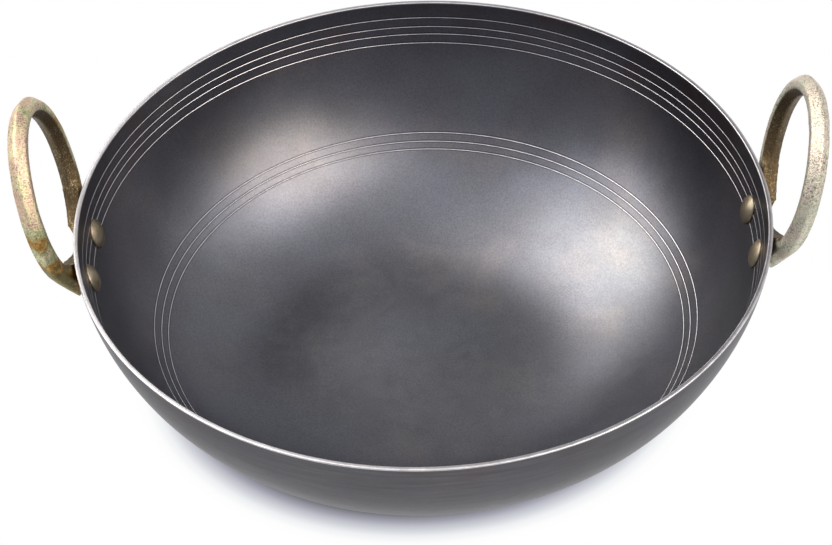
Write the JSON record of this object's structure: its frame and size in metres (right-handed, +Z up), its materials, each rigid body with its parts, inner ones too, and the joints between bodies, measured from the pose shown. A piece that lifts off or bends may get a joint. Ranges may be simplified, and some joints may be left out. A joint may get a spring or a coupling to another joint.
{
  "type": "kadai",
  "caption": "Deep round steel cooking pan with a small flat base, lines scored around its inside and a riveted ring handle standing up at either side.",
  "frame": {"origin": "centre of the flat base, on the surface that the pan stands on", "axes": "+Z up out of the open bowl, the handles along +X and -X, -Y the front"},
  "size_m": [0.3407, 0.2998, 0.148],
  "materials": {
    "blued_steel": "rolled carbon steel sheet, blued dark grey, satin",
    "passivated_casting": "cast, zinc plated with a pale yellow iridescent passivate",
    "passivated_rivet": "zinc plated with an olive yellow passivate, half gloss"
  },
  "bodies": {
    "root": {"bowl": "blued_steel", "handle_left": "passivated_casting", "handle_right": "passivated_casting", "rivet_left_front": "passivated_rivet", "rivet_left_rear": "passivated_rivet", "rivet_right_front": "passivated_rivet", "rivet_right_rear": "passivated_rivet"}
  },
  "joints": []
}
